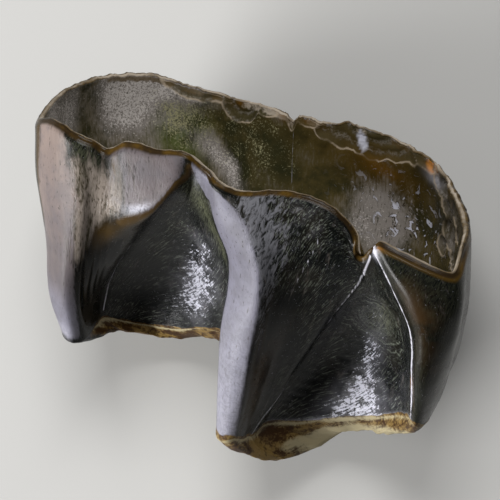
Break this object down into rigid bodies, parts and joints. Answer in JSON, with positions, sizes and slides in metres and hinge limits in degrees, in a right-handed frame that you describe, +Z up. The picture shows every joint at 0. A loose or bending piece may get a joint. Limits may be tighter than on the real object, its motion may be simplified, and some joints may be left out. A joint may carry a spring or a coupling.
{
  "type": "fossil rhinoceros tooth",
  "caption": "Hollow, unworn crown of a fossil rhinoceros lower molar, lying on its cheek wall, with two valleys, grooved pillars and a chipped open root end.",
  "frame": {"origin": "middle of the footprint, on the surface the tooth lies on", "axes": "+X along the tooth's length towards its back end, +Y towards the open root end, +Z up, out of the tongue side"},
  "size_m": [0.0526, 0.0382, 0.0331],
  "materials": {
    "fossil_enamel": "glossy mineralised enamel, black-brown outside and olive inside the pulp cavity, with amber where it is thin or broken"
  },
  "bodies": {
    "root": {"tooth_crown": "fossil_enamel"}
  },
  "joints": []
}
